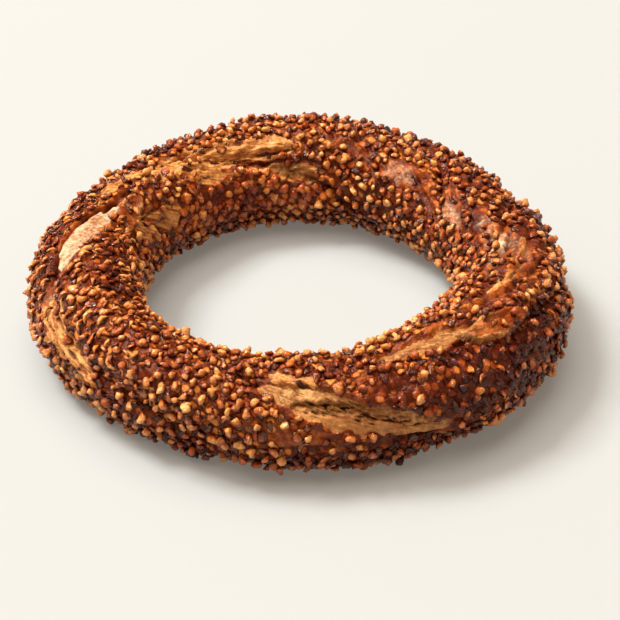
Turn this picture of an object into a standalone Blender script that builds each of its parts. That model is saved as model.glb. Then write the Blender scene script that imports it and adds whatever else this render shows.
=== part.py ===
"""Simit: a ring of bread made from two ropes of dough, twisted together and closed, with a coat of sesame.

Metres, +Z up. The ring lies flat, and the origin is on the surface under it, below the middle of its box.
AROUND is the angle round the ring, anticlockwise from +X. ACROSS is the angle round the dough at one
place on the ring: 0 faces outwards, 90 up, 180 into the hole and 270 down. Angles are in degrees.
"""

import math

import bmesh
import bpy

# Sizes of the whole ring
RING_RADIUS = 0.0645  # middle of the hole to the middle of the dough
DOUGH_RADIUS = 0.0176  # middle of the dough to the seed coat, on average
FLAT_DEPTH = 0.0013  # how far the baking stone has flattened the underside

# Hand rolling leaves slow waves: (waves round the ring, height as a share, AROUND of a crest)
RING_WAVES = ((3, 0.016, -30),)
DOUGH_WAVES = ((1, 0.017, 0), (2, 0.023, -21), (3, 0.044, 79))

# The twist: the two seams between the ropes turn round the dough as they run round the ring
HALF_TURNS = 6
SEAM_START = 118  # ACROSS of the first seam at AROUND 0, before the waves and the lean
TWIST_WAVES = ((1, 10, 118), (2, 13, 42), (3, 31, -58))  # as above, but heights in degrees
LEAN = 0.74  # the seams run flatter along the top of the outer side, as a share
LEAN_TOP = 54  # ACROSS of the flattest part of their run

# The two ropes in section, as shares of the dough's radius
ROPE_BULGE = 0.028  # how far a rope's back stands out, and its edges in
SEAM_DEPTH = 0.085
SEAM_WIDTH = 10  # half the width of a closed seam's furrow, in degrees of ACROSS

# Where the rising dough tore a seam open: (AROUND of the middle, half the length, both in degrees)
TEARS = ((112, 26), (177, 20), (279, 22), (303, 15), (359, 16))
TEAR_SIDES = (-20, 175)  # tears lie where the crust is stretched, between these ACROSS angles
TEAR_WIDTH = 13  # half the width of a torn seam's furrow, in degrees of ACROSS

# The ropes' ends, tucked over the seam where the ring was closed: (AROUND, ACROSS) of each middle
TUCKED_ENDS = ((161, 130), (321, 64))
END_LENGTH = 0.0085  # half the length, round the ring
END_WIDTH = 0.0070  # half the width, round the dough
END_HEIGHT = 0.0013

# Facets
STEPS_AROUND = 150
STEPS_PER_ROPE = 15
CROWDING = 0.5  # how much closer together the section's points stand near a seam

CRUST_COLOUR = (0.27, 0.085, 0.022, 1.0)
CRUST_ROUGHNESS = 0.45


def wave_sum(waves, around):
    """The height of slow waves (count, height, crest) at one place round the ring."""
    return sum(height * math.cos(math.radians(count * (around - crest))) for count, height, crest in waves)


def ring_radius(around):
    return RING_RADIUS * (1 + wave_sum(RING_WAVES, around))


def dough_radius(around):
    return DOUGH_RADIUS * (1 + wave_sum(DOUGH_WAVES, around))


def nearest_turn(angle):
    """An angle in degrees brought to between -180 and 180."""
    return (angle + 180) % 360 - 180


def seam_across(around, seam):
    """ACROSS of a seam at one place round the ring, where seam 2 is seam 0 after a whole turn."""
    unleaned = 180 * seam + SEAM_START - HALF_TURNS * 180 * around / 360 - wave_sum(TWIST_WAVES, around)
    across = unleaned
    for _ in range(20):  # Newton's method, as the lean moves a seam by an amount that depends on where it is
        lean_angle = math.radians(across - LEAN_TOP)
        miss = across + math.degrees(LEAN) * math.sin(lean_angle) - unleaned
        across -= miss / (1 + LEAN * math.cos(lean_angle))
    return across


def tear_share(around, across):
    """How far a seam is torn open at one point: 0 where it is closed, 1 in the middle of a tear."""
    if not TEAR_SIDES[0] < nearest_turn(across) < TEAR_SIDES[1]:
        return 0.0
    along = min(abs(nearest_turn(around - middle)) / half_length for middle, half_length in TEARS)
    return math.cos(math.radians(90 * along)) if along < 1 else 0.0


def furrow(around, across, seam_at):
    """Depth of the furrow over one seam, as a share of the dough's radius."""
    torn = tear_share(around, seam_at)
    width = SEAM_WIDTH + (TEAR_WIDTH - SEAM_WIDTH) * torn
    return SEAM_DEPTH * math.exp(-((nearest_turn(across - seam_at) / width) ** 2))


def tucked_end_height(around, across):
    """How far the tucked ends raise the dough at one point."""
    height = 0.0
    for end_around, end_across in TUCKED_ENDS:
        along = math.radians(nearest_turn(around - end_around)) * RING_RADIUS / END_LENGTH
        over = math.radians(nearest_turn(across - end_across)) * DOUGH_RADIUS / END_WIDTH
        height += END_HEIGHT * math.exp(-((along * along + over * over) ** 2))
    return height


def section(around):
    """One section's points from the first seam on, as distances (out, up) from the middle of the ring."""
    seams = [seam_across(around, seam) for seam in range(3)]
    middle_height = dough_radius(around) - FLAT_DEPTH
    points = []
    for rope in range(2):
        start, end = seams[rope], seams[rope + 1]
        for step in range(STEPS_PER_ROPE):
            share = step / STEPS_PER_ROPE
            share -= CROWDING * math.sin(2 * math.pi * share) / (2 * math.pi)
            across = start + (end - start) * share
            back = -ROPE_BULGE * math.cos(2 * math.pi * share)
            cut = sum(furrow(around, across, seam) for seam in seams[:2])
            radius = dough_radius(around) * (1 + back - cut) + tucked_end_height(around, across)
            out = ring_radius(around) + radius * math.cos(math.radians(across))
            up = middle_height + radius * math.sin(math.radians(across))
            points.append((out, max(up, 0.0)))
    return points


def make_ring(name):
    """One closed skin of four-sided faces, whose long edges follow the ropes."""
    shape = bmesh.new()
    rings = []
    for step in range(STEPS_AROUND):
        angle = 2 * math.pi * step / STEPS_AROUND
        ring = [
            shape.verts.new((out * math.cos(angle), out * math.sin(angle), up))
            for out, up in section(math.degrees(angle))
        ]
        rings.append(ring)
    # Six half turns bring the first seam back to itself, so the last section meets the first point by point.
    points = 2 * STEPS_PER_ROPE
    for step, ring in enumerate(rings):
        following = rings[(step + 1) % STEPS_AROUND]
        for side in range(points):
            beside = (side + 1) % points
            shape.faces.new((ring[side], following[side], following[beside], ring[beside]))
    bmesh.ops.recalc_face_normals(shape, faces=shape.faces)
    low = [min(point.co[axis] for point in shape.verts) for axis in range(2)]
    high = [max(point.co[axis] for point in shape.verts) for axis in range(2)]
    middle = [(low[axis] + high[axis]) / 2 for axis in range(2)]
    bmesh.ops.translate(shape, verts=shape.verts, vec=(-middle[0], -middle[1], 0.0))
    mesh = bpy.data.meshes.new(name)
    shape.to_mesh(mesh)
    shape.free()
    mesh.shade_smooth()
    ring_object = bpy.data.objects.new(name, mesh)
    bpy.context.scene.collection.objects.link(ring_object)
    return ring_object


def make_material(name, colour, roughness):
    material = bpy.data.materials.new(name)
    material.use_nodes = True
    shader = material.node_tree.nodes["Principled BSDF"]
    shader.inputs["Base Color"].default_value = colour
    shader.inputs["Roughness"].default_value = roughness
    shader.inputs["Metallic"].default_value = 0.0
    return material


for old in list(bpy.data.objects):
    bpy.data.objects.remove(old)

bread_ring = make_ring("bread_ring")
bread_ring.data.materials.append(make_material("baked_crust", CRUST_COLOUR, CRUST_ROUGHNESS))
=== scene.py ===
import math

import bmesh
import bpy
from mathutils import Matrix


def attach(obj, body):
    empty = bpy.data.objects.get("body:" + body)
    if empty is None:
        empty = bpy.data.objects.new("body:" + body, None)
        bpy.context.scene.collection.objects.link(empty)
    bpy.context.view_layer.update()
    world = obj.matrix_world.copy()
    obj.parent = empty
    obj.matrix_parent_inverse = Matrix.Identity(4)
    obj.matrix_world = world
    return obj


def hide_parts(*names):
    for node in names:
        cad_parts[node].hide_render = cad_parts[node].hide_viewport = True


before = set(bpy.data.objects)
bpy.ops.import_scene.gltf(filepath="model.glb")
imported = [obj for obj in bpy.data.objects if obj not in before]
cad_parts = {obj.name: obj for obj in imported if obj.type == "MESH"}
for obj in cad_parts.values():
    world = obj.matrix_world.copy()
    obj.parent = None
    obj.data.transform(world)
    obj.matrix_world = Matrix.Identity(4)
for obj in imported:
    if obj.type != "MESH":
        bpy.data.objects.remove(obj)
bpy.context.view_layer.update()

# The bread: two ropes of yeast dough, rolled by hand, twisted together and closed to a ring, then dipped in
# grape molasses and baked on stone. Where the dough rose faster than its skin could stretch, the seams
# between the ropes tore open and show coarse pale crumb. One skin of faces, worked out from the twist.


class Wire:
    """One socket of a node tree, with Python's operators, so that a pattern on a surface reads as a sum."""

    def __init__(self, tree, socket=None):
        self.tree = tree
        self.socket = socket

    def node(self, kind, settings=None, inputs=None, output=0):
        """Add a node: settings first, then the values or wires of its sockets. Gives one of its outputs."""
        made = self.tree.nodes.new(kind)
        for name, value in (settings or {}).items():
            if name == "stops":
                while len(made.color_ramp.elements) < len(value):
                    made.color_ramp.elements.new(1.0)
                for stop, (place, colour) in zip(made.color_ramp.elements, value):
                    stop.position = place
                    stop.color = colour
            else:
                setattr(made, name, value)
        for name, value in (inputs or {}).items():
            if isinstance(value, Wire):
                self.tree.links.new(value.socket, made.inputs[name])
            else:
                made.inputs[name].default_value = value
        return Wire(self.tree, made.outputs[output])

    def output(self, name):
        return Wire(self.tree, self.socket.node.outputs[name])

    def maths(self, operation, *values):
        return self.node("ShaderNodeMath", {"operation": operation}, dict(enumerate(values)))

    def __add__(self, other):
        return self.maths("ADD", self, other)

    def __radd__(self, other):
        return self.maths("ADD", other, self)

    def __sub__(self, other):
        return self.maths("SUBTRACT", self, other)

    def __rsub__(self, other):
        return self.maths("SUBTRACT", other, self)

    def __mul__(self, other):
        return self.maths("MULTIPLY", self, other)

    def __rmul__(self, other):
        return self.maths("MULTIPLY", other, self)

    def __truediv__(self, other):
        return self.maths("DIVIDE", self, other)

    def __pow__(self, other):
        return self.maths("POWER", self, other)

    def sin(self):
        return self.maths("SINE", self)

    def cos(self):
        return self.maths("COSINE", self)

    def size(self):
        return self.maths("ABSOLUTE", self)

    def at_least(self, low):
        return self.maths("MAXIMUM", self, low)

    def at_most(self, high):
        return self.maths("MINIMUM", self, high)

    def below(self, limit):
        return self.maths("LESS_THAN", self, limit)

    def hump(self, width):
        """1 where this is 0, falling to nothing over a few widths on both sides."""
        return self.maths("EXPONENT", (self / width) ** 2 * -1)

    def turned(self, low):
        """This angle brought into the whole turn that starts at low."""
        return self.maths("WRAP", self, low + 2 * math.pi, low)

    def ease(self, low, high):
        """0 before low, 1 after high and smooth between."""
        settings = {"interpolation_type": "SMOOTHSTEP"}
        return self.node("ShaderNodeMapRange", settings, {"Value": self, "From Min": low, "From Max": high})

    def mix(self, first, second):
        """A colour that goes from first to second as this goes from 0 to 1."""
        return self.node("ShaderNodeMix", {"data_type": "RGBA"}, {0: self, 6: first, 7: second}, 2)

    def stretched(self, along, beside):
        """This place with its first two directions stretched, for a pattern that runs one way."""
        settings = {"operation": "MULTIPLY"}
        return self.node("ShaderNodeVectorMath", settings, {0: self, 1: (along, beside, 1.0)})

    def noise(self, size, detail=2.0, rough=0.5):
        """Soft random patches of about one size in metres, between -1 and 1, at this place."""
        inputs = {"Vector": self, "Scale": 1 / size, "Detail": detail, "Roughness": rough}
        return self.node("ShaderNodeTexNoise", None, inputs) * 2 - 1


def new_tree(name, inputs):
    """A Geometry Nodes tree with named inputs. Gives a wire of its Group Input."""
    tree = bpy.data.node_groups.new(name, "GeometryNodeTree")
    for label, kind in inputs.items():
        tree.interface.new_socket(name=label, in_out="INPUT", socket_type="NodeSocket" + kind)
    tree.interface.new_socket(name="Geometry", in_out="OUTPUT", socket_type="NodeSocketGeometry")
    return Wire(tree).node("NodeGroupInput")


def end_tree(shape, material):
    """Close a tree: its instances made real, smooth, and of one material."""
    shape = shape.node("GeometryNodeRealizeInstances", None, {"Geometry": shape})
    shape = shape.node("GeometryNodeSetShadeSmooth", None, {"Geometry": shape})
    shape = shape.node("GeometryNodeSetMaterial", None, {"Geometry": shape, "Material": material})
    last = shape.tree.nodes.new("NodeGroupOutput")
    shape.tree.links.new(shape.socket, last.inputs[0])
    return shape.tree


def worked_once(wire, name, rule, values):
    """A rule that is used many times, as a node group that is built the first time. Gives one use of it."""
    group = bpy.data.node_groups.get(name)
    if group is None:
        group = bpy.data.node_groups.new(name, "GeometryNodeTree")
        for label in values:
            group.interface.new_socket(name=label, in_out="INPUT", socket_type="NodeSocketFloat")
        start = Wire(group).node("NodeGroupInput")
        results = rule(*[start.output(label) for label in values])
        last = group.nodes.new("NodeGroupOutput")
        for label, result in results.items():
            group.interface.new_socket(name=label, in_out="OUTPUT", socket_type="NodeSocketFloat")
            group.links.new(result.socket, last.inputs[label])
    return wire.node("GeometryNodeGroup", {"node_tree": group}, values)


def store(shape, name, value):
    """Keep a value at each point of a shape, where its material or the seeds can read it."""
    inputs = {"Geometry": shape, "Name": name, "Value": value}
    return shape.node("GeometryNodeStoreNamedAttribute", {"data_type": "FLOAT", "domain": "POINT"}, inputs)


def bake_shape(name, tree, values):
    """Run a tree once, and keep what it makes as the plain mesh of a new object."""
    piece = bpy.data.objects.new(name, bpy.data.meshes.new(name))
    bpy.context.scene.collection.objects.link(piece)
    modifier = piece.modifiers.new(name, "NODES")
    modifier.node_group = tree
    for item in tree.interface.items_tree:
        if item.in_out == "INPUT" and item.name in values:
            modifier[item.identifier] = values[item.name]
    graph = bpy.context.evaluated_depsgraph_get()
    finished = piece.evaluated_get(graph)
    mesh = bpy.data.meshes.new_from_object(finished, preserve_all_data_layers=True, depsgraph=graph)
    piece.modifiers.remove(modifier)
    piece.data = mesh
    mesh.name = name
    return piece


def colour(red, green, blue):
    """A colour as a mixer reads it off a screen, 0 to 255, made linear."""
    linear = [((c / 255 + 0.055) / 1.055) ** 2.4 if c > 10 else c / 255 / 12.92 for c in (red, green, blue)]
    return (*linear, 1.0)


def finish_material(name):
    """A new material. Gives it, its shader and a wire to start sums from."""
    material = bpy.data.materials.new(name)
    material.use_nodes = True
    shader = material.node_tree.nodes["Principled BSDF"]
    return material, shader, Wire(material.node_tree)


def feed(shader, name, wire):
    shader.id_data.links.new(wire.socket, shader.inputs[name])


def kept(wire, name):
    """A value that the shape keeps at its points."""
    return wire.node("ShaderNodeAttribute", {"attribute_name": name}, None, "Fac")


# From a thin glaze over bread to a pool of syrup baked dark; its darker end also paints shade in hollows and
# creases
GLAZE_STOPS = (
    (0.0, colour(188, 104, 38)),
    (0.30, colour(150, 64, 16)),
    (0.62, colour(88, 26, 5)),
    (1.0, colour(44, 10, 6)),
)
# From the palest to the darkest of the seeds that lie drowned in the glaze; towards each one's rim it paints
# shade
DROWNED_STOPS = (
    (0.0, colour(208, 126, 52)),
    (0.35, colour(168, 74, 20)),
    (0.65, colour(108, 32, 6)),
    (1.0, colour(54, 14, 8)),
)
crust_material, crust_shader, start = finish_material("baked crust")
place = start.node("ShaderNodeTexCoord", None, None, "Object")
grain = start.node("ShaderNodeAttribute", {"attribute_name": "grain"}, None, "Vector")
torn = kept(start, "torn")
drawn = kept(start, "drawn")
slit = kept(start, "slit")
toast = kept(start, "toast")
golden = kept(start, "golden")
pale = kept(start, "pale")
relief = kept(start, "relief")
fine = place.noise(0.0011, 4.0, 0.6)
patches = place.noise(0.006, 3.0)
strands = grain.stretched(0.12, 1.0).noise(0.0009, 3.0, 0.55)
cords = grain.stretched(0.16, 1.0).noise(0.0022, 2.0, 0.5)
# Darker in the hollows of the lumps and lighter on their tops: partly syrup pooled in the hollows, partly
# painted shade
glaze = (toast * 0.6 - relief * 0.8 + patches * 0.25 + fine * 0.25).ease(-0.25, 0.90)
skin = glaze.node("ShaderNodeValToRGB", {"stops": GLAZE_STOPS}, {0: glaze})
# Darker glaze where the seeds cover the crust: painted shade between the seeds
covered = kept(start, "coat").ease(0.25, 0.7)
skin = (covered * 0.8).mix(skin, colour(78, 22, 3))
wander = place.node("ShaderNodeCombineXYZ", None, {0: patches * 0.001, 1: fine * 0.0006, 2: 0.0})
warped = place.node("ShaderNodeVectorMath", None, {0: place, 1: wander})
cells = {"Vector": warped, "Scale": 1 / 0.0026, "Randomness": 0.9}
edge = place.node("ShaderNodeTexVoronoi", {"feature": "F1"}, cells, "Distance")
each = place.node("ShaderNodeTexVoronoi", {"feature": "F1"}, cells, "Color")
drowned = covered * (0.62 - edge + fine * 0.12).ease(0.0, 0.26)
# Darker towards each drowned seed's rim: painted shade where it sinks into the glaze. The rest follows the
# crust's toasting and painted shade, and a random tone of each seed
tone = (toast * 0.8 + (each - 0.5) * 1.3 + fine * 0.2 + edge * 0.3 - 0.1).at_least(0.0).at_most(1.0)
skin = (drowned * 0.9).mix(skin, tone.node("ShaderNodeValToRGB", {"stops": DROWNED_STOPS}, {0: tone}))
# Golden stretched skin, lighter on the raised strands and cords and darker between them: painted light and
# shade that follow the bump
gold = (strands * 0.7 + cords * 0.6 + fine * 0.4).ease(-0.45, 0.45)
gold = gold.mix(colour(134, 60, 16), colour(230, 164, 90))
skin = (golden + fine * 0.35 + patches * 0.35).ease(0.20, 0.80).mix(skin, gold)
flour = (strands * 0.5 + patches * 0.9 + fine * 1.1).ease(-0.6, 0.6)
flour = flour.mix(colour(146, 86, 48), colour(224, 190, 150))
skin = (pale + fine * 0.3).ease(0.3, 0.8).mix(skin, flour)
tan = (patches * 0.5 + fine * 0.6 + strands * 0.2).ease(-0.5, 0.5)
tan = tan.mix(colour(146, 80, 32), colour(200, 144, 84))
skin = (drawn + fine * 0.3 + patches * 0.3).ease(0.25, 0.75).mix(skin, tan)
holes = (grain.stretched(0.5, 1.0).noise(0.0014, 3.0, 0.6) + fine * 0.3).ease(0.14, 0.40)
crumb = (patches * 0.6 + fine + strands * 0.2 + 0.08 - toast * 0.5).ease(-0.55, 0.55)
crumb = crumb.mix(colour(138, 82, 36), colour(214, 162, 98))
# Painted shade in the holes of the crumb, where the bump sinks it
crumb = (holes * 0.75).mix(crumb, colour(112, 54, 18))
edge_brown = (fine + patches * 0.5).ease(-0.5, 0.5).mix(colour(132, 56, 16), colour(186, 108, 44))
opened = torn + fine * 0.2 + patches * 0.25
look = opened.ease(0.10, 0.45).mix(skin, edge_brown)
look = opened.ease(0.35, 0.85).mix(look, crumb)
# Painted shade in the cracks, folds, strand grooves and seam creases
look = slit.ease(0.15, 0.85).mix(look, colour(58, 22, 8))
feed(crust_shader, "Base Color", look)
feed(crust_shader, "Roughness", 0.26 + torn * 0.35 + pale * 0.22 + fine * 0.08)
crust_shader.inputs["IOR"].default_value = 1.36
crust_shader.inputs["Specular IOR Level"].default_value = 0.7
crust_shader.inputs["Specular Tint"].default_value = (1.0, 0.80, 0.66, 1.0)
bumps = fine * 0.5 + place.noise(0.0004, 3.0, 0.6) * 0.25 + place.noise(0.003, 2.0) * 0.6
bumps = bumps + strands * (golden + (torn + drawn + pale) * 0.4).at_most(1.0) * 0.7
bumps = bumps + cords * (golden.at_most(1.0) + 0.5) * 1.2
bumps = bumps + drowned * 2.2 - holes * torn * 2.6
bump = start.node("ShaderNodeBump", None, {"Strength": 0.75, "Distance": 0.0005, "Height": bumps})
feed(crust_shader, "Normal", bump)

RING_SIZES = {
    "Steps around": 640,
    "Steps across": 140,
    "Ring radius": 0.0645,  # middle of the hole to the middle of the dough
    "Dough radius": 0.0176,  # middle of the dough to the middle of the seed coat
    "Flat depth": 0.0013,  # how far the baking stone has flattened the underside
    "Under the seeds": 0.0017,  # how far the skin lies below the middle of the coat
    "Above the floor": 0.0006,
}
sizes = new_tree(
    "twisted ring", {name: "Int" if isinstance(size, int) else "Float" for name, size in RING_SIZES.items()}
)
RING_MIDDLE = (0.00066, -0.00151, 0.0)  # the middle of the hole, from the middle of the ring's box
# Slow waves of hand-rolled dough: (count round the ring, height, crest in degrees)
RING_WAVES = ((3, 0.016, -30),)
DOUGH_WAVES = ((1, 0.017, 0), (2, 0.023, -21), (3, 0.044, 79))
TWIST_WAVES = ((1, 10, 118), (2, 13, 42), (3, 31, -58))
HALF_TURNS = 6  # of the ropes about each other, in one round of the ring
SEAM_START = 118
LEAN = 0.74  # the seams run flatter along the top of the outer side
LEAN_TOP = 54
ROPE_BULGE = 0.028
CROWDING = 0.55  # how much closer together the faces stand near a seam
# (depth, width) of the hollow over a closed seam, and of the sharp crease in it
CLOSED_SEAM = ((0.0014, 0.0032), (0.0009, 0.0009))
# Places are (round the ring, round the dough) in degrees, and lengths are metres.
# Tears: start, end, half width, bow, depth (less than nothing where the dough swelled out of the tear), which
# edge stands over the floor (1 the inner one, -1 the outer one), where across it the crumb starts (-1 to 1),
# and how pale and smooth its floor is
TEARS = (
    ((260, 66), (284, 34), 0.0044, 0.0000, 0.0012, 0.8, -1.2, 0.0),
    ((268, 43), (302, -10), 0.0052, 0.0006, 0.0017, 0.6, 0.00, 0.0),
    ((288, 88), (318, 75), 0.0042, 0.0012, 0.0017, 1.0, -1.2, 0.22),
    ((163, 109), (194, 62), 0.0037, 0.0006, -0.0015, -1.0, -1.2, 0.95),
    ((87, 157), (101, 144), 0.0034, 0.0000, 0.0016, 0.3, -0.6, 0.1),
    ((-12, 84), (1, 78), 0.0017, 0.0000, 0.0007, 0.3, -1.2, 0.4),
)
# Bands where the skin was stretched to golden strands: start, end, half width, bow, depth of the strands
STRANDS = (
    ((90, 126), (146, 98), 0.0054, 0.0004, 0.0014),
    ((195, 42), (221, 4), 0.0054, 0.0000, 0.0010),
    ((140, 160), (153, 150), 0.0050, 0.0000, 0.0005),
    ((114, 145), (129, 132), 0.0030, 0.0000, 0.0005),
    ((149, 152), (166, 142), 0.0054, 0.0000, 0.0007),
    ((82, 150), (97, 162), 0.0030, 0.0000, 0.0008),
    ((128, 88), (158, 80), 0.0030, 0.0000, 0.0008),
    ((328, 96), (346, 82), 0.0013, 0.0000, 0.0006),
    ((262, 84), (274, 66), 0.0020, 0.0000, 0.0006),
)
# Folds: narrow creases, painted dark as shade: start, end, half width, bow, depth
FOLDS = (
    ((150, 102), (168, 98), 0.0009, 0.0000, 0.0014),
    ((159, 104), (197, 44), 0.0014, -0.0008, 0.0026),
    ((190, 56), (199, 26), 0.0011, 0.0000, 0.0018),
    ((123, 95), (143, 92), 0.0009, 0.0000, 0.0014),
    ((272, -6), (304, -18), 0.0009, 0.0000, 0.0012),
    ((311, 80), (314, 54), 0.0008, 0.0000, 0.0012),
    ((318, 99), (352, 60), 0.0008, 0.0000, 0.0012),
    ((335, 120), (362, 92), 0.0008, 0.0000, 0.0014),
    ((340, 88), (372, 62), 0.0008, 0.0000, 0.0012),
    ((322, 24), (346, -4), 0.0008, 0.0000, 0.0012),
    ((12, 150), (34, 112), 0.0008, 0.0000, 0.0012),
    ((60, 140), (80, 108), 0.0008, 0.0000, 0.0012),
    ((36, 150), (52, 120), 0.0008, 0.0000, 0.0014),
)
# Tongues: the ends of the ropes, pressed onto the ring: start, end, half width, height
TONGUES = (
    ((153, 114), (171, 130), 0.0044, 0.0016),
    ((312, 72), (329, 57), 0.0044, 0.0021),
)
# Swellings and hollows of the dough: middle, half sizes, height
SWELLS = (
    ((232, -8), 24, 46, -0.0018),
    ((0, 180), 24, 40, -0.0010),
    ((182, 178), 20, 36, -0.0008),
    ((45, 40), 22, 40, -0.0006),
    ((35, 148), 9, 18, -0.0010),
    ((52, 128), 8, 16, 0.0007),
    ((283, 84), 12, 12, -0.0008),
    ((345, 20), 14, 20, 0.0006),
)


def waves(wire, crests, scale=1.0):
    """The sum of some slow waves round the ring."""
    return sum(
        ((wire - math.radians(crest)) * count).cos() * (height * scale) for count, height, crest in crests
    )


grid = sizes.node(
    "GeometryNodeMeshGrid",
    None,
    {
        "Size X": 1.0,
        "Size Y": 1.0,
        "Vertices X": sizes.output("Steps around") + 1,
        "Vertices Y": sizes.output("Steps across") + 1,
    },
)
flat = sizes.node("ShaderNodeSeparateXYZ", None, {0: sizes.node("GeometryNodeInputPosition")})
around = (flat + 0.5) * (2 * math.pi)
ropes = (flat.output("Y") + 0.5) * 2
rope = ropes.maths("FLOOR", ropes)
share = ropes - rope
crowded = share - (share * (2 * math.pi)).sin() * (CROWDING / (2 * math.pi))
dough = sizes.output("Dough radius") * (1 + waves(around, DOUGH_WAVES))


def seam_rule(unleaned):
    """The angle round the dough of a seam. Newton's method, as the lean depends on where the seam is."""
    across = unleaned
    for _ in range(9):
        leaned = across - math.radians(LEAN_TOP)
        across = across - (across + leaned.sin() * LEAN - unleaned) / (1 + leaned.cos() * LEAN)
    return {"Across": across}


def seam_across(seam):
    unleaned = seam * math.pi + math.radians(SEAM_START) - around * (HALF_TURNS / 2)
    unleaned = unleaned - waves(around, TWIST_WAVES, math.pi / 180)
    return worked_once(sizes, "seam", seam_rule, {"Unleaned": unleaned})


inner_seam = seam_across(rope)
outer_seam = seam_across(rope + 1)
across = inner_seam + (outer_seam - inner_seam) * crowded


def on_ring(radius, angle):
    """The place on the ring at one distance from the dough's middle."""
    out = sizes.output("Ring radius") * (1 + waves(around, RING_WAVES)) + radius * angle.cos()
    up = (dough - sizes.output("Flat depth") + radius * angle.sin()).at_least(sizes.output("Above the floor"))
    inputs = {0: out * around.cos() + RING_MIDDLE[0], 1: out * around.sin() + RING_MIDDLE[1], 2: up}
    return sizes.node("ShaderNodeCombineXYZ", None, inputs)


smooth_place = on_ring(dough, across)
ragged = smooth_place.noise(0.004, 3.0)


def lens_rule(
    around, across, ragged, middle, height, reach, wide, high, half_length, half_width, bow, raggedness
):
    """How far inside a lens each point is, where across it (-1 to 1), how far along it and how far beside."""
    x = (around - middle).turned(-math.pi) * reach
    y = (across - height).turned(-math.pi) * RING_SIZES["Dough radius"]
    run = x * wide + y * high
    swell = 1 - (run / half_length) ** 2
    beside = y * wide - x * high - swell * bow
    width = swell.at_least(0.0) ** 0.5 * half_width * (1 + ragged * raggedness)
    inside = width - beside.size() - (run.size() - half_length).at_least(0.0)
    side = (beside / width.at_least(0.0004)).at_least(-1.0).at_most(1.0)
    return {"Inside": inside, "Side": side, "Run": run, "Beside": beside}


def lens(start, end, half_width, bow=0.0, raggedness=0.5):
    """A patch of the crust with two pointed ends."""
    middle, height = [math.radians(first + last) / 2 for first, last in zip(start, end)]
    reach = RING_SIZES["Ring radius"] + RING_SIZES["Dough radius"] * math.cos(height)
    wide = math.radians(end[0] - start[0]) * reach
    high = math.radians(end[1] - start[1]) * RING_SIZES["Dough radius"]
    length = math.hypot(wide, high)
    values = {
        "Around": around,
        "Across": across,
        "Ragged": ragged,
        "Middle": middle,
        "Height": height,
        "Reach": reach,
        "Wide": wide / length,
        "High": high / length,
        "Half length": length / 2,
        "Half width": half_width,
        "Bow": bow,
        "Raggedness": raggedness,
    }
    made = worked_once(sizes, "lens", lens_rule, values)
    return [made.output(name) for name in ("Inside", "Side", "Run", "Beside")]


def patch_rule(around, across, ragged, middle, height, half_around, half_across):
    wide = (around - middle).turned(-math.pi) / half_around
    high = (across - height).turned(-math.pi) / half_across
    return {"Inside": 1 - ((wide * wide + high * high) ** 0.5 + ragged * 0.45).ease(0.7, 1.25)}


def patch(place, half_around, half_across):
    """1 inside a ragged oval on the crust, 0 outside: its middle and half sizes in degrees."""
    values = {
        "Around": around,
        "Across": across,
        "Ragged": ragged,
        "Middle": math.radians(place[0]),
        "Height": math.radians(place[1]),
        "Half around": math.radians(half_around),
        "Half across": math.radians(half_across),
    }
    return worked_once(sizes, "patch", patch_rule, values)


def tear_rule(inside, side, run, beside, ragged, pits, depth, overhang, crumb_from, paleness, number):
    """A tear: coarse crumb under one edge that stands over it, and stretched skin towards the other edge."""
    is_open = inside.ease(-0.0002, 0.0006)
    crumb = inside.ease(-0.0005, 0.0016) * (side + ragged * 0.4).ease(crumb_from - 0.2, crumb_from + 0.2)
    threads = run.node("ShaderNodeCombineXYZ", None, {0: run * 0.5 + beside * 0.2, 1: beside, 2: number})
    cracks = threads.noise(0.0018, 2.0).ease(0.12, 0.26) * (1 - paleness) * inside.ease(0.0002, 0.0012)
    cracks = cracks * (side - crumb_from.at_least(-0.3)).hump(0.45)
    floor = depth * (side * overhang * 0.45 + 0.55) - threads.noise(0.0009, 3.0, 0.6) * 0.0004
    floor = floor - pits * (0.0010 - paleness * 0.0008) * crumb
    edge = (side * overhang).ease(-0.3, 0.5) * (1 - paleness)
    return {
        "lower": is_open * floor + cracks * 0.0014 - (inside + 0.0008).hump(0.0008) * edge * 0.0005,
        "shift": (inside + 0.0002).hump(0.0007) * edge * overhang * -0.0008,
        "torn": crumb * (1 - paleness),
        "pale": crumb * paleness,
        "golden": (inside + 0.0001).hump(0.0005) * edge * 0.35,
        "drawn": (inside.ease(-0.0006, 0.0012) - crumb).at_least(0.0),
        # Painted shade in the cracks, and a painted shadow along the foot of the edge that stands over the
        # tear
        "slit": cracks + (inside - 0.0004).hump(0.0004) * (side * overhang).ease(0.2, 0.8) * 0.5,
        "open": is_open,
        "bare": (inside + side * overhang * 0.0006).ease(-0.0009, 0.0003),
    }


def strand_rule(inside, run, beside, ragged, relief):
    """A band where the skin was drawn out to strands."""
    slanted = {0: run * 0.22 + beside * 0.1, 1: beside - run * 0.12 + ragged * 0.0016, 2: relief * 500}
    threads = run.node("ShaderNodeCombineXYZ", None, slanted)
    ridges = threads.noise(0.0019, 2.0, 0.5)
    band = inside.ease(-0.0012, 0.0016)
    # Painted shade in the grooves between the strands
    dark = (ridges * -1).ease(0.10, 0.36) * band * 0.75
    lower = ridges * band * relief * -1.8
    return {"lower": lower, "golden": band - dark * 0.5, "slit": dark, "bare": inside.ease(-0.0009, 0.0003)}


def add_up(totals, made, *names):
    """Add what a group gives to the sums that the ring is made from."""
    for name in names:
        totals[name] = totals.get(name, 0.0) + made.output(name)


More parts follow.
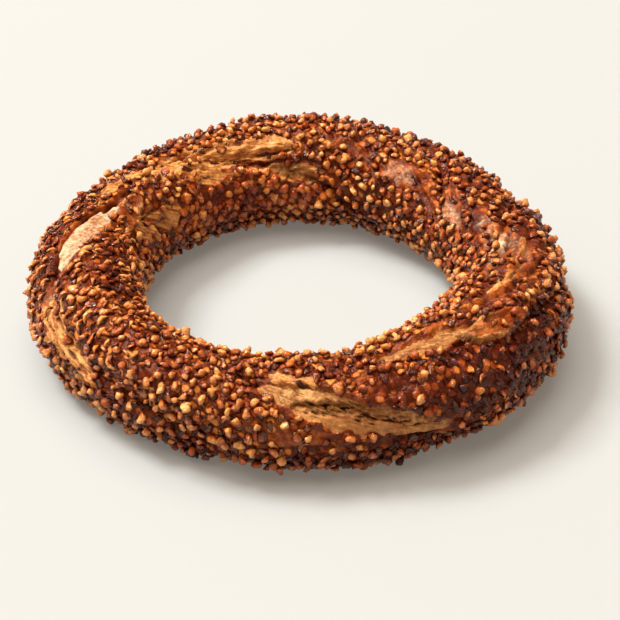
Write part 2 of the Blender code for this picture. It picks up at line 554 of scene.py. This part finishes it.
pits = smooth_place.noise(0.0017, 3.0, 0.6)
totals = {}
for number, (first, last, half_width, bow, depth, overhang, crumb_from, paleness) in enumerate(TEARS):
    inside, side, run, beside = lens(first, last, half_width, bow, 0.8)
    values = {"Inside": inside, "Side": side, "Run": run, "Beside": beside, "Ragged": ragged, "Pits": pits}
    values.update({"Depth": depth, "Overhang": overhang, "Crumb from": crumb_from, "Paleness": paleness})
    made = worked_once(sizes, "tear", tear_rule, {**values, "Number": number * 0.1})
    add_up(totals, made, "lower", "shift", "torn", "pale", "golden", "drawn", "slit", "open", "bare")
for first, last, half_width, bow, relief in STRANDS:
    inside, side, run, beside = lens(first, last, half_width, bow, 1.7)
    values = {"Inside": inside, "Run": run, "Beside": beside, "Ragged": ragged, "Relief": relief}
    made = worked_once(sizes, "strands", strand_rule, values)
    add_up(totals, made, "lower", "golden", "slit")
    totals["bare"] = totals["bare"] + made.output("bare") * 0.7  # seeds stick to strands here and there
for first, last, half_width, bow, depth in FOLDS:
    inside = lens(first, last, half_width, bow, 0.2)[0]
    fold = inside.ease(-0.0008, 0.0004)
    totals["bare"] = totals["bare"] + inside.ease(-0.0020, -0.0006) * min(1.0, depth / 0.0020)
    totals["lower"] = totals["lower"] + fold * depth
    # Painted shade in the fold
    totals["slit"] = totals["slit"] + fold * 0.55
for first, last, half_width, height in TONGUES:
    inside, side, run, beside = lens(first, last, half_width, 0.0, 0.4)
    tongue = inside.ease(-0.0002, 0.0008)
    raised = tongue - inside.ease(0.0010, 0.0028) * 0.45 + pits * tongue * 0.5
    totals["lower"] = totals["lower"] - raised * height
    totals["tongue"] = totals.get("tongue", 0.0) + tongue
    # A golden rim towards the starting end of each tongue: golden stretched skin, and painted light along
    # that edge
    rim = (inside - 0.0004).hump(0.0006) * (run * -1).ease(-0.0020, 0.0040)
    totals["golden"] = totals["golden"] + rim * 0.9
for middle, half_around, half_across, height in SWELLS:
    totals["lower"] = totals["lower"] - patch(middle, half_around, half_across) * height

open_here = (totals["open"] + totals["tongue"]).at_most(1.0)
gaps = ((across - inner_seam) * dough, (across - outer_seam) * dough)
closed = sum(gap.hump(wide) * deep for deep, wide in CLOSED_SEAM for gap in gaps) * (1 - open_here)
crease = sum(gap.hump(0.0012) for gap in gaps) * (1 - open_here)
lumps = smooth_place.noise(0.0042, 3.0, 0.55)
wrinkles = smooth_place.noise(0.0021, 2.0, 0.5)
relief = (lumps * 0.8 + wrinkles * 0.35) * (1 - open_here * 0.8)
uneven = smooth_place.noise(0.013, 2.0) * 0.0012 + relief * 0.0015
back = (share * (2 * math.pi)).cos() * -ROPE_BULGE
radius = dough * (1 + back) - sizes.output("Under the seeds") - totals["lower"] - closed + uneven
final_place = on_ring(radius, across + totals["shift"] / dough)


def patches_here(patches):
    """The sum of some ragged ovals."""
    return sum(
        patch(middle, half_around, half_across) * strength
        for middle, half_around, half_across, strength in patches
    )


# Ragged ovals on the crust: middle, half sizes, strength. Where it is darker than elsewhere, or lighter where
# the strength is less than nothing. Most stand for toasting; the three along the back rim paint shade
TOAST_AND_SHADE_OVALS = (
    ((16, 122), 7, 13, 0.70),
    ((22, 112), 4, 9, 0.40),
    ((147, 116), 6, 13, 0.35),
    ((321, 38), 8, 14, 0.45),
    ((306, 66), 4, 8, 0.40),
    ((312, 36), 26, 38, 0.30),
    ((131, 152), 8, 12, 0.20),
    ((203, 105), 8, 12, 0.40),
    ((186, 112), 8, 10, 0.30),
    ((284, 84), 15, 13, 0.22),
    ((289, 56), 9, 14, -0.05),
    ((306, 80), 14, 10, 0.30),
    # The next three darken the crust and pick darker seeds along the back rim: painted shade
    ((95, 62), 50, 16, 0.34),
    ((40, 45), 40, 20, 0.30),
    ((155, 48), 44, 14, 0.30),
    ((322, 80), 7, 9, 0.20),
    ((321, 64), 9, 9, -0.35),
    ((30, 82), 26, 16, 0.14),
    ((252, 100), 20, 12, 0.12),
    ((352, 98), 8, 9, 0.12),
    ((22, 174), 14, 14, 0.15),
    ((100, 178), 22, 16, 0.08),
    # The next two make the front darker towards the bottom
    ((285, -28), 32, 16, 0.18),
    ((268, -42), 90, 22, 0.28),
    ((326, 8), 26, 26, 0.22),
    ((118, 108), 22, 20, -0.12),
    ((45, 124), 24, 14, -0.10),
    ((226, 44), 16, 16, -0.10),
    ((172, 96), 10, 12, -0.12),
    ((268, 18), 14, 24, -0.15),
)
# Where flour or a tight skin has kept it pale
PALE = (
    ((4, 110), 13, 16, 0.45),
    ((-7, 84), 11, 14, 0.40),
    ((350, 112), 10, 12, 0.40),
    ((26, 140), 10, 12, 0.50),
    ((54, 132), 9, 14, 0.45),
    ((84, 166), 5, 8, 0.40),
)
# Where few seeds stick
BARE = (
    ((288, 58), 8, 15, 0.60),
    ((308, 40), 22, 34, 0.45),
    ((270, 6), 8, 12, 0.8),
    ((49, 132), 14, 16, 0.60),
    ((24, 124), 12, 22, 0.55),
    ((8, 112), 14, 18, 0.60),
    ((352, 88), 18, 18, 0.50),
    ((70, 118), 8, 14, 0.45),
    ((94, 110), 6, 14, 0.5),
    ((147, 156), 9, 14, 1.0),
    ((121, 138), 8, 10, 0.8),
    ((197, 96), 10, 10, 0.5),
    ((205, 130), 8, 10, 0.5),
)
pale_here = totals["pale"] + patches_here(PALE)
bare_here = patches_here(BARE)
golden_here = (totals["golden"] + totals["tongue"] * 0.28).at_most(1.0)
browning_and_shade = smooth_place.noise(0.016, 2.0) * 0.40 + smooth_place.noise(0.005, 2.0) * 0.25 + 0.47
# Along the closed seams the crust is painted darker: shade in their creases
browning_and_shade = browning_and_shade + patches_here(TOAST_AND_SHADE_OVALS) + crease * 0.20
covered = (1 - totals["bare"]).at_least(0.0) * (1 - pale_here * 0.65).at_least(0.0)
covered = covered * (1 - bare_here * 0.75).at_least(0.0) * (1 - totals["tongue"] * 0.60).at_least(0.0)
covered = covered * (1 - crease * 0.35)
slender = (patch((190, 80), 44, 75) + patch((330, 10), 26, 44) * 0.6).at_most(1.0)
varied = patch((312, 34), 30, 44)
sunk = (patch((115, 172), 42, 30) + patch((312, 30), 24, 40) * 0.5).at_most(1.0)

sheet = grid
for name, value in {
    "torn": totals["torn"].at_most(1.0),
    "drawn": totals["drawn"].at_least(0.0).at_most(1.0),
    # The cracks, folds and strand grooves, with the closed seams' creases: all painted with shade
    "slit": (totals["slit"] + crease * 0.35).at_most(1.0),
    "toast": browning_and_shade.at_least(0.0).at_most(1.0),
    "golden": golden_here,
    "pale": pale_here.at_most(1.0),
    "relief": relief,
    "coat": covered,
    "slender": slender,
    "sunk": sunk,
    "varied": varied,
}.items():
    sheet = store(sheet, name, value)
along = around.turned(math.radians(240 - 360)) * RING_SIZES["Ring radius"]
grain = sizes.node("ShaderNodeCombineXYZ", None, {0: along, 1: (across - inner_seam) * dough, 2: 0.0})
inputs = {"Geometry": sheet, "Name": "grain", "Value": grain}
settings = {"data_type": "FLOAT_VECTOR", "domain": "POINT"}
sheet = sheet.node("GeometryNodeStoreNamedAttribute", settings, inputs)
sheet = sheet.node("GeometryNodeSetPosition", None, {"Geometry": sheet, "Position": final_place})
sheet = sheet.node("GeometryNodeMergeByDistance", None, {"Geometry": sheet, "Distance": 0.00001})
crust = bake_shape("crust", end_tree(sheet, crust_material), RING_SIZES)
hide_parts("bread_ring")
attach(crust, "root")

# The sesame: raw seeds stuck on by the molasses and toasted with the crust, so that each took its own colour,
# from golden to charred. Most lie flat in the syrup and some stand on an edge or on their point. Each kind is
# one piece of plain mesh, picked by how dark the crust under it is, from its toasting and from painted shade,
# and all share the same scatter, so that no two sit in one place.
SEED_SHAPES = {
    # length, width and thickness in metres, how pointed the tip is, and how far the seed is bent
    "plump": (0.0032, 0.0021, 0.0017, 0.50, 0.00),
    "wedge": (0.0035, 0.0024, 0.0015, 0.75, 0.10),
    "shrunken": (0.0032, 0.0020, 0.0013, 0.50, -0.30),
    "flat": (0.0035, 0.0023, 0.0009, 0.40, 0.20),
    "slim": (0.0038, 0.0014, 0.0010, 0.30, 0.55),
    "curled": (0.0044, 0.0012, 0.0009, 0.20, -1.10),
}
SEED_STATIONS = (-0.86, -0.45, 0.10, 0.62)
SEED_SIDES = 8


def seed_shape(name, length, width, thickness, point, bend):
    """A flattened drop of a few dozen faces, its tip towards +X."""
    shape = bmesh.new()
    rings = []
    for station in SEED_STATIONS:
        girth = math.sqrt(1 - station * station) * (1 - point * station)
        lift = bend * thickness * (station * station * 2 - 1)
        ring = []
        for side in range(SEED_SIDES):
            turn = 2 * math.pi * side / SEED_SIDES
            ring.append(
                shape.verts.new(
                    (
                        station * length / 2,
                        girth * math.cos(turn) * width / 2,
                        girth * math.sin(turn) * thickness / 2 + lift,
                    )
                )
            )
        rings.append(ring)
    blunt = shape.verts.new((-length / 2, 0, bend * thickness))
    tip = shape.verts.new((length / 2, 0, bend * thickness))
    for side in range(SEED_SIDES):
        beside = (side + 1) % SEED_SIDES
        shape.faces.new((blunt, rings[0][beside], rings[0][side]))
        shape.faces.new((tip, rings[-1][side], rings[-1][beside]))
        for ring, following in zip(rings, rings[1:]):
            shape.faces.new((ring[side], ring[beside], following[beside], following[side]))
    bmesh.ops.recalc_face_normals(shape, faces=shape.faces)
    mesh = bpy.data.meshes.new(name)
    shape.to_mesh(mesh)
    shape.free()
    seed = bpy.data.objects.new(name, mesh)
    bpy.context.scene.collection.objects.link(seed)
    return seed


def chance(wire, low, high, seed):
    """A number for each point, drawn evenly between low and high."""
    return wire.node("FunctionNodeRandomValue", {"data_type": "FLOAT"}, {2: low, 3: high, "Seed": seed}, 1)


def read(wire, name):
    """A value that the crust keeps at its points."""
    return wire.node("GeometryNodeInputNamedAttribute", {"data_type": "FLOAT"}, {"Name": name})


COMBED_ALONG = (0.80, 0.55, 0.25)  # which way the slender seeds lie
PLACES_TRIED = 900000.0  # on a square metre, before those too near another are left out


def seed_layer(coat, bread, shapes, kinds, spacing, pitch, roll, bury, seed):
    """One layer of seeds of some kinds: at least a spacing apart, and tilted by up to a pitch and a roll."""
    clumps = coat.node("GeometryNodeInputPosition").noise(0.006, 2.0)
    inputs = {
        "Mesh": bread,
        "Distance Min": spacing,
        "Density Max": PLACES_TRIED,
        "Density Factor": (read(coat, "coat") * (1.0 + clumps * 0.5)).at_most(1.0),
        "Seed": seed,
    }
    points = coat.node("GeometryNodeDistributePointsOnFaces", {"distribute_method": "POISSON"}, inputs)
    normal = points.output("Normal")
    upright = points.output("Rotation")
    spread = chance(coat, -0.30, 0.30, seed + 1) * (1 + read(coat, "varied") * 1.2)
    points = store(points, "toast", read(coat, "toast") + spread)
    points = store(points, "tone", chance(coat, 0.0, 1.0, seed + 2))
    toast = read(coat, "toast")
    chosen = (1 - toast.below(coat.output("Lowest toast"))) * toast.below(coat.output("Highest toast"))
    sunk = read(coat, "sunk")
    lift = chance(coat, *bury, seed + 3) - sunk * 0.0007
    height = normal.node("ShaderNodeVectorMath", {"operation": "SCALE"}, {0: normal, "Scale": lift})
    points = points.node("GeometryNodeSetPosition", None, {"Geometry": points, "Offset": height})
    slender = read(coat, "slender")
    combed = {"axis": "X", "pivot_axis": "Z"}
    upright = upright.node("FunctionNodeAlignRotationToVector", combed, {0: upright, 2: COMBED_ALONG})
    tilt = coat.node(
        "ShaderNodeCombineXYZ",
        None,
        {
            0: chance(coat, -roll, roll, seed + 4) * (1 - sunk * 0.7),
            1: chance(coat, *pitch, seed + 5) * (1 - sunk * 0.7) * (1 - slender * 0.75),
            2: chance(coat, -math.pi, math.pi, seed + 6) * (1 - slender * 0.75),
        },
    )
    tilt = coat.node("FunctionNodeEulerToRotation", None, {0: tilt})
    turned = upright.node("FunctionNodeRotateRotation", {"rotation_space": "LOCAL"}, {0: upright, 1: tilt})
    size = chance(coat, 0.72, 1.20, seed + 7)
    width = size * chance(coat, 0.85, 1.15, seed + 8)
    scale = coat.node("ShaderNodeCombineXYZ", None, {0: size, 1: width, 2: size})
    kind = chance(coat, *kinds, seed + 9) + slender * chance(coat, 0.0, 5.5, seed + 10)
    inputs = {
        "Points": points,
        "Selection": chosen,
        "Instance": shapes,
        "Pick Instance": True,
        "Instance Index": kind.at_most(len(SEED_SHAPES) - 0.1),
        "Rotation": turned,
        "Scale": scale,
    }
    return points.node("GeometryNodeInstanceOnPoints", None, inputs)


coat = new_tree(
    "sesame coat",
    {
        "Bread": "Object",
        **{name.capitalize(): "Object" for name in SEED_SHAPES},
        "Lying apart": "Float",
        "Standing apart": "Float",
        "Lowest toast": "Float",
        "Highest toast": "Float",
        "Material": "Material",
    },
)
bread = coat.node("GeometryNodeObjectInfo", None, {"Object": coat.output("Bread")}, "Geometry")
shapes = coat.tree.nodes.new("GeometryNodeGeometryToInstance")
for name in reversed(SEED_SHAPES):
    shape = coat.node("GeometryNodeObjectInfo", None, {"Object": coat.output(name.capitalize())}, "Geometry")
    coat.tree.links.new(shape.socket, shapes.inputs[0])
shapes = Wire(coat.tree, shapes.outputs[0])
apart = coat.output("Lying apart")
lying = seed_layer(coat, bread, shapes, (0.7, 5.0), apart, (-0.4, 0.5), 0.6, (-0.0002, 0.0005), 10)
apart = coat.output("Standing apart")
standing = seed_layer(coat, bread, shapes, (0.0, 2.9), apart, (0.4, 1.4), 0.7, (0.0002, 0.0009), 40)
seeds = coat.tree.nodes.new("GeometryNodeJoinGeometry")
coat.tree.links.new(lying.socket, seeds.inputs[0])
coat.tree.links.new(standing.socket, seeds.inputs[0])
seeds = Wire(coat.tree, seeds.outputs[0])
seeds = seeds.node("GeometryNodeRealizeInstances", None, {"Geometry": seeds})
point = seeds.node("GeometryNodeInputPosition")
skin_below = {0: bread, "Source Position": point}
rise = seeds.node("GeometryNodeProximity", {"target_element": "FACES"}, skin_below, "Distance")
seeds = store(seeds, "rise", rise * 1000)
dents = point.noise(0.0011, 1.0) * 0.0009 + (0.0006 - rise).at_least(0.0) * 0.5
outward = seeds.node("GeometryNodeInputNormal")
outward = seeds.node("ShaderNodeVectorMath", {"operation": "SCALE"}, {0: outward, "Scale": dents})
seeds = seeds.node("GeometryNodeSetPosition", None, {"Geometry": seeds, "Offset": outward})
COAT_HEIGHTS = (0.0001, 0.0379)  # the lowest and the highest that a seed reaches over the floor
place = seeds.node("ShaderNodeSeparateXYZ", None, {0: seeds.node("GeometryNodeInputPosition")})
height = place.output("Z").at_least(COAT_HEIGHTS[0]).at_most(COAT_HEIGHTS[1])
resting = seeds.node("ShaderNodeCombineXYZ", None, {0: place, 1: place.output("Y"), 2: height})
seeds = seeds.node("GeometryNodeSetPosition", None, {"Geometry": seeds, "Position": resting})
coat_tree = end_tree(seeds, coat.output("Material"))

seed_objects = {name: seed_shape(name, *sizes) for name, sizes in SEED_SHAPES.items()}
# Kind: the least and the most toasting and painted shade of the crust under it, the colour of its lightest
# spots and tops, where light is painted, and the colour of the rest
SEED_KINDS = {
    "golden": (-9.0, 0.30, colour(222, 160, 88), colour(192, 96, 22)),
    "amber": (0.30, 0.52, colour(216, 146, 78), colour(168, 70, 10)),
    "brown": (0.52, 0.74, colour(208, 128, 64), colour(136, 46, 4)),
    "dark": (0.74, 0.98, colour(168, 84, 40), colour(86, 22, 2)),
    "charred": (0.98, 9.0, colour(104, 56, 50), colour(46, 15, 14)),
}
# The colour at every seed's foot: syrup, and painted shade where the seed meets the crust
SYRUP_AND_SHADE = colour(56, 11, 2)  # on every seed's foot
DULL_KINDS = ("dark", "charred")
for kind, (least, most, light, deep) in SEED_KINDS.items():
    material, shader, start = finish_material(kind + " sesame")
    place = start.node("ShaderNodeTexCoord", None, None, "Object")
    mottle = place.noise(0.0012, 3.0, 0.6)
    rise = kept(start, "rise")
    # Lighter towards each seed's top: partly a random tone and mottling of its own, partly painted light on
    # the top
    skin = (rise * 0.6 - kept(start, "tone") * 0.7 + mottle * 1.3).ease(-0.15, 1.05).mix(deep, light)
    # Dark at each seed's foot: syrup, and painted shade where the seed meets the crust
    skin = (rise + kept(start, "sunk") * 0.9 + mottle * 0.5).ease(0.15, 1.3).mix(SYRUP_AND_SHADE, skin)
    feed(shader, "Base Color", skin)
    feed(shader, "Roughness", 0.18 + mottle * 0.08)
    shader.inputs["IOR"].default_value = 1.48
    shader.inputs["Specular IOR Level"].default_value = 0.5 if kind in DULL_KINDS else 1.0
    shader.inputs["Specular Tint"].default_value = (1.0, 0.85, 0.72, 1.0)
    dimples = {"Strength": 0.8, "Distance": 0.0004, "Height": place.noise(0.0008, 2.0)}
    bump = start.node("ShaderNodeBump", None, dimples)
    feed(shader, "Normal", bump)
    values = {
        "Bread": crust,
        **{name.capitalize(): seed for name, seed in seed_objects.items()},
        "Lying apart": 0.0035,
        "Standing apart": 0.0034,
        "Lowest toast": least,
        "Highest toast": most,
        "Material": material,
    }
    seeds = bake_shape("sesame_" + kind, coat_tree, values)
    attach(seeds, "root")
for seed in seed_objects.values():
    bpy.data.objects.remove(seed)

# The floor the bread lies on: a plain, pale studio sweep. It is no part of the bread.
floor_mesh = bpy.data.meshes.new("floor")
floor_mesh.from_pydata([(-3, -3, 0), (3, -3, 0), (3, 3, 0), (-3, 3, 0)], [], [(0, 1, 2, 3)])
floor = bpy.data.objects.new("floor", floor_mesh)
bpy.context.scene.collection.objects.link(floor)
floor_material, floor_shader, start = finish_material("cream paper")
floor_shader.inputs["Roughness"].default_value = 0.9
floor_shader.inputs["Base Color"].default_value = colour(148, 150, 148)
floor_shader.inputs["Emission Color"].default_value = colour(246, 241, 230)  # lit from behind as well
floor_shader.inputs["Emission Strength"].default_value = 0.15
floor_mesh.materials.append(floor_material)

# Light and camera: a key from the upper left and behind, a wide soft light over it, a weak warm fill, and a
# long lens that looks down.
world = bpy.data.worlds.new("studio")
world.use_nodes = True
world.node_tree.nodes["Background"].inputs["Color"].default_value = (1.0, 0.62, 0.36, 1.0)
world.node_tree.nodes["Background"].inputs["Strength"].default_value = 0.48
bpy.context.scene.world = world
# Size, power, colour and place
STUDIO_LIGHTS = {
    "key": (1.6, 335.0, (0.97, 0.98, 0.98), (-2.5, 1.3, 4.2)),
    "soft": (6.0, 440.0, (0.98, 0.97, 0.94), (-1.2, 0.6, 4.8)),
}
for name, (size, power, tint, spot) in STUDIO_LIGHTS.items():
    light = bpy.data.objects.new(name, bpy.data.lights.new(name, "AREA"))
    light.data.size = size
    light.data.energy = power
    light.data.color = tint
    light.visible_glossy = name == "key"  # the wide one would veil the dark syrup with its reflection
    light.location = spot
    light.rotation_euler = (-light.location).to_track_quat("-Z", "Y").to_euler()
    bpy.context.scene.collection.objects.link(light)

camera = bpy.data.objects.new("camera", bpy.data.cameras.new("camera"))
bpy.context.scene.collection.objects.link(camera)
bpy.context.scene.camera = camera
camera.data.sensor_width = 36.0
camera.data.lens = 127.7
camera.data.shift_x = 0.0164
camera.data.shift_y = -0.0473
elevation = math.radians(34.52)
distance = 0.6739
aim = (RING_MIDDLE[0], RING_MIDDLE[1], 0.0163)
camera.location = (aim[0], aim[1] - distance * math.cos(elevation), aim[2] + distance * math.sin(elevation))
camera.rotation_euler = (math.pi / 2 - elevation, 0.0, 0.0)
bpy.context.scene.view_settings.view_transform = "Standard"
